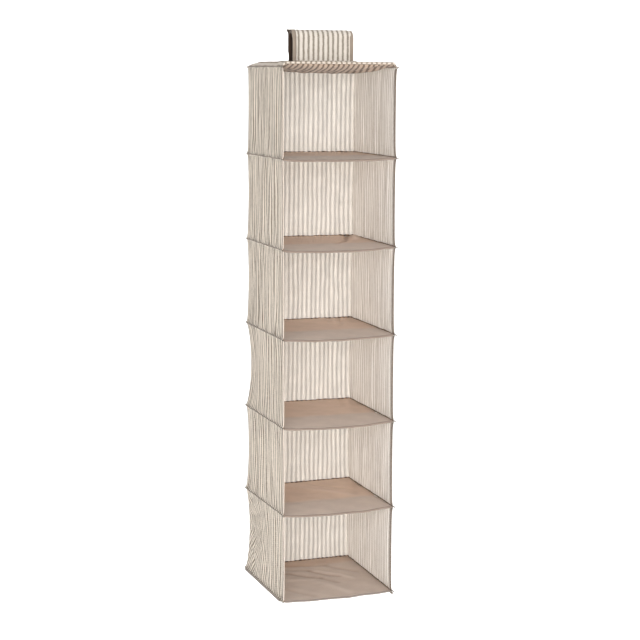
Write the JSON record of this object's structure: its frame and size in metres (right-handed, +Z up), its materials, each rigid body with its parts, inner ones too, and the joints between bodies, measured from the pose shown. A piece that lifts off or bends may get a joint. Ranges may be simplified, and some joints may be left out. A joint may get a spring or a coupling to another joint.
{
  "type": "hanging shoe organizer",
  "caption": "Collapsible hanging fabric shelf tower for shoes: open-fronted striped compartments with stiffened shelves under a peel-open strap that loops over a closet rod.",
  "frame": {"origin": "on the axis of the closet rod, at the middle of the strap's width", "axes": "+X to the right along the rod, -Y out of the open front, +Z up; the shelves hang below the origin"},
  "size_m": [0.3128, 0.3442, 1.4771],
  "materials": {
    "striped_cloth": "woven ticking, cream with brown-grey stripes, matte",
    "plain_cloth": "plain taupe weave, matte",
    "binding_tape": "folded taupe tape, fine ribbed weave, matte",
    "hook_and_loop": "hook and loop fastening tape, matte",
    "stiffener": "plain fibreboard"
  },
  "bodies": {
    "top": {"strap_rear_leg": "striped_cloth", "strap_rear_leg_binding": "binding_tape", "strap_front_leg": "striped_cloth", "strap_front_leg_binding": "binding_tape", "loop_tape": "hook_and_loop", "top_cover": "striped_cloth", "top_board": "stiffener", "top_lining": "striped_cloth", "seam_binding_0": "striped_cloth", "left_wall_1": "striped_cloth", "right_wall_1": "striped_cloth", "back_wall_1": "striped_cloth", "front_edge_binding_1": "striped_cloth"},
    "flap": {"strap_flap": "striped_cloth", "strap_flap_binding": "binding_tape", "hook_tape": "hook_and_loop"},
    "tongue": {"strap_tongue": "striped_cloth", "strap_tongue_binding": "binding_tape"},
    "shelf_1": {"seam_binding_1": "striped_cloth", "shelf_sleeve_1": "plain_cloth", "shelf_board_1": "stiffener", "left_wall_2": "striped_cloth", "right_wall_2": "striped_cloth", "back_wall_2": "striped_cloth", "front_edge_binding_2": "striped_cloth"},
    "shelf_2": {"seam_binding_2": "striped_cloth", "shelf_sleeve_2": "plain_cloth", "shelf_board_2": "stiffener", "left_wall_3": "striped_cloth", "right_wall_3": "striped_cloth", "back_wall_3": "striped_cloth", "front_edge_binding_3": "striped_cloth"},
    "shelf_3": {"seam_binding_3": "striped_cloth", "shelf_sleeve_3": "plain_cloth", "shelf_board_3": "stiffener", "left_wall_4": "striped_cloth", "right_wall_4": "striped_cloth", "back_wall_4": "striped_cloth", "front_edge_binding_4": "striped_cloth"},
    "shelf_4": {"seam_binding_4": "striped_cloth", "shelf_sleeve_4": "plain_cloth", "shelf_board_4": "stiffener", "left_wall_5": "striped_cloth", "right_wall_5": "striped_cloth", "back_wall_5": "striped_cloth", "front_edge_binding_5": "striped_cloth"},
    "shelf_5": {"seam_binding_5": "striped_cloth", "shelf_sleeve_5": "plain_cloth", "shelf_board_5": "stiffener", "left_wall_6": "striped_cloth", "right_wall_6": "striped_cloth", "back_wall_6": "striped_cloth", "front_edge_binding_6": "striped_cloth"},
    "shelf_6": {"seam_binding_6": "binding_tape", "shelf_sleeve_6": "plain_cloth", "shelf_board_6": "stiffener"}
  },
  "joints": [
    {"name": "flap_peel", "type": "hinge", "parent": "top", "child": "flap", "pos_m": [0, -0.0205, 0], "axis": [1, 0, 0], "range_deg": [0, 120]},
    {"name": "tongue_fold", "type": "hinge", "parent": "top", "child": "tongue", "pos_m": [0, 0.0154, 0], "axis": [1, 0, 0], "range_deg": [-60, 0]},
    {"name": "collapse_1", "type": "slide", "parent": "top", "child": "shelf_1", "axis": [0, 0, 1], "range_m": [0, 0.2], "deforming": ["left_wall_1", "right_wall_1", "back_wall_1", "front_edge_binding_1"]},
    {"name": "collapse_2", "type": "slide", "parent": "shelf_1", "child": "shelf_2", "axis": [0, 0, 1], "range_m": [0, 0.208], "deforming": ["left_wall_2", "right_wall_2", "back_wall_2", "front_edge_binding_2"]},
    {"name": "collapse_3", "type": "slide", "parent": "shelf_2", "child": "shelf_3", "axis": [0, 0, 1], "range_m": [0, 0.208], "deforming": ["left_wall_3", "right_wall_3", "back_wall_3", "front_edge_binding_3"]},
    {"name": "collapse_4", "type": "slide", "parent": "shelf_3", "child": "shelf_4", "axis": [0, 0, 1], "range_m": [0, 0.208], "deforming": ["left_wall_4", "right_wall_4", "back_wall_4", "front_edge_binding_4"]},
    {"name": "collapse_5", "type": "slide", "parent": "shelf_4", "child": "shelf_5", "axis": [0, 0, 1], "range_m": [0, 0.208], "deforming": ["left_wall_5", "right_wall_5", "back_wall_5", "front_edge_binding_5"]},
    {"name": "collapse_6", "type": "slide", "parent": "shelf_5", "child": "shelf_6", "axis": [0, 0, 1], "range_m": [0, 0.208], "deforming": ["left_wall_6", "right_wall_6", "back_wall_6", "front_edge_binding_6"]}
  ],
  "couplings": [
    {"joint": "tongue_fold", "follows": "flap_peel", "ratio": -0.5}
  ]
}
